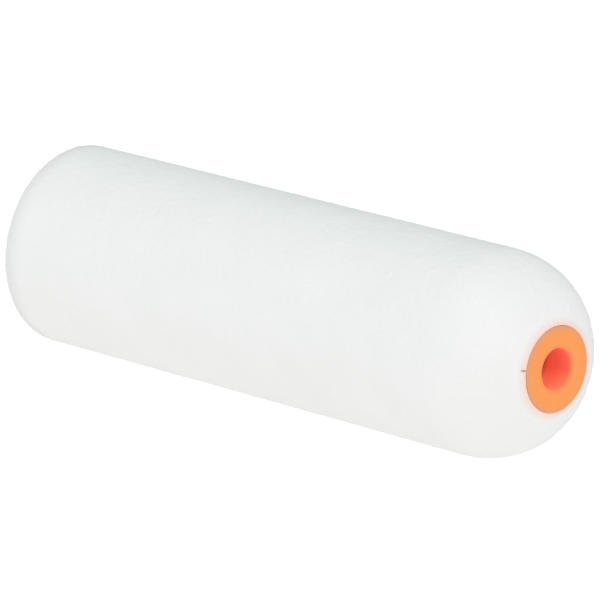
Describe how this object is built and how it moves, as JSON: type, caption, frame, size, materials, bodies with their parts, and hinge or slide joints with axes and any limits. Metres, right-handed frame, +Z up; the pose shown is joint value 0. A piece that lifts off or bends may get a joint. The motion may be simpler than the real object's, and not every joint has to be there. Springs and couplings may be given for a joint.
{
  "type": "mini paint roller refill",
  "caption": "White flocked foam mini paint roller sleeve with a domed front end, a glued core tube and orange end plugs bored for a frame wire.",
  "frame": {"origin": "middle of the roller's axis, halfway between the front plug's face and the rear cut face", "axes": "Y along the roller's axis of turn, with the domed front end at -Y and the flat cut rear end at +Y; +Z up with the roller lying on its side"},
  "size_m": [0.034, 0.11, 0.034],
  "materials": {
    "flock_white": "short white nylon flock, velvety and matte",
    "foam_white": "fine open-cell polyurethane foam, matte",
    "clear_adhesive": "hot-melt glue film, amber and glossy",
    "natural_plastic": "extruded polypropylene, natural colour, satin",
    "orange_plastic": "injection-moulded polyethylene, orange, satin and a little translucent"
  },
  "bodies": {
    "root": {"flock_cover": "flock_white", "foam_sleeve": "foam_white", "adhesive_layer": "clear_adhesive", "core_tube": "natural_plastic", "front_plug": "orange_plastic", "rear_plug": "orange_plastic"}
  },
  "joints": []
}
